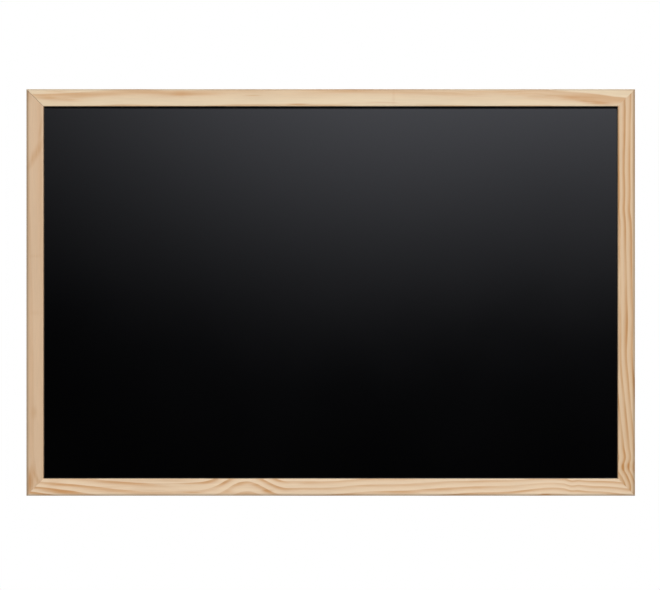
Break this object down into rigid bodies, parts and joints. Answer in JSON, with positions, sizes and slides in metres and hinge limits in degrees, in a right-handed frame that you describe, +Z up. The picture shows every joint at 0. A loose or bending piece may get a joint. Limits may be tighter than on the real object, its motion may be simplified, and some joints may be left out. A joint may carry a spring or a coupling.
{
  "type": "wall chalkboard",
  "caption": "Black writing panel in a narrow mitred pine frame, hung on a wall by swinging rings on the back of its stiles.",
  "frame": {"origin": "on the wall behind the middle of the frame's outline, where the backs of the wall bumpers stand", "axes": "+X to the right as seen from the front, +Y into the wall, +Z up; the writing face looks along -Y"},
  "size_m": [0.6, 0.0185, 0.401],
  "materials": {
    "pine": "planed pine under a thin clear satin lacquer",
    "writing_lacquer": "satin black writing lacquer on the front of brown hardboard, bare screen-marked back",
    "nail_steel": "bare bright steel strip",
    "point_steel": "blued spring steel",
    "zinc_plate": "bright zinc plating",
    "bumper_rubber": "matt moulded rubber"
  },
  "bodies": {
    "board": {"top_rail": "pine", "bottom_rail": "pine", "left_stile": "pine", "right_stile": "pine", "writing_panel": "writing_lacquer", "v_nail_top_left": "nail_steel", "v_nail_top_right": "nail_steel", "v_nail_bottom_right": "nail_steel", "v_nail_bottom_left": "nail_steel", "top_point_1": "point_steel", "top_point_2": "point_steel", "top_point_3": "point_steel", "bottom_point_1": "point_steel", "bottom_point_2": "point_steel", "bottom_point_3": "point_steel", "left_point_1": "point_steel", "left_point_2": "point_steel", "right_point_1": "point_steel", "right_point_2": "point_steel", "left_hanger_plate": "zinc_plate", "left_hanger_screw": "zinc_plate", "left_wall_bumper": "bumper_rubber", "right_hanger_plate": "zinc_plate", "right_hanger_screw": "zinc_plate", "right_wall_bumper": "bumper_rubber"},
    "left_ring": {"left_hanging_ring": "zinc_plate"},
    "right_ring": {"right_hanging_ring": "zinc_plate"}
  },
  "joints": [
    {"name": "left_ring_swing", "type": "hinge", "parent": "board", "child": "left_ring", "pos_m": [-0.2945, -0.0022, 0.1505], "axis": [1, 0, 0], "range_deg": [0, 185]},
    {"name": "right_ring_swing", "type": "hinge", "parent": "board", "child": "right_ring", "pos_m": [0.2945, -0.0022, 0.1505], "axis": [1, 0, 0], "range_deg": [0, 185]}
  ]
}
